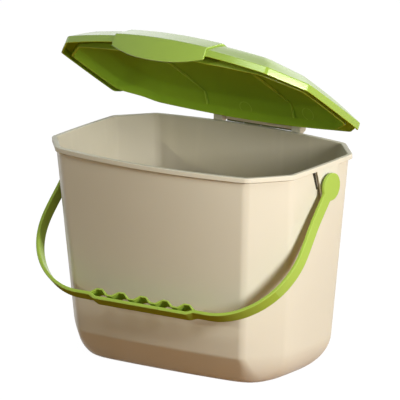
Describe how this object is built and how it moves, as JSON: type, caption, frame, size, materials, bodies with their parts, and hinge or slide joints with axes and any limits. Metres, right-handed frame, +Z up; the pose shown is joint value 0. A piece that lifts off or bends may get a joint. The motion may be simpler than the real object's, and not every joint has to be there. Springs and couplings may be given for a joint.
{
  "type": "compost caddy",
  "caption": "Kitchen compost caddy: drafted eight-sided bin with rim flange, domed hinged lid with thumb flap, and swinging bail handle with a wavy finger grip",
  "frame": {"origin": "centre of the flat face the bin stands on", "axes": "+X right along the long front side, front wall towards -Y, hinge side towards +Y, +Z up"},
  "size_m": [0.321, 0.2257, 0.3518],
  "materials": {
    "cream_plastic": "satin injection-moulded polypropylene",
    "green_plastic": "glossy injection-moulded polypropylene",
    "lime_plastic": "glossy injection-moulded polypropylene"
  },
  "bodies": {
    "bin": {"bin": "cream_plastic"},
    "lid": {"lid": "green_plastic"},
    "handle": {"handle": "lime_plastic"}
  },
  "joints": [
    {"name": "lid_hinge", "type": "hinge", "parent": "bin", "child": "lid", "pos_m": [0, 0.1092, 0.2268], "axis": [-1, 0, 0], "range_deg": [-32.8, 72.2]},
    {"name": "handle_pivot", "type": "hinge", "parent": "bin", "child": "handle", "pos_m": [0, 0.006, 0.2019], "axis": [-1, 0, 0], "range_deg": [0, 92]}
  ]
}
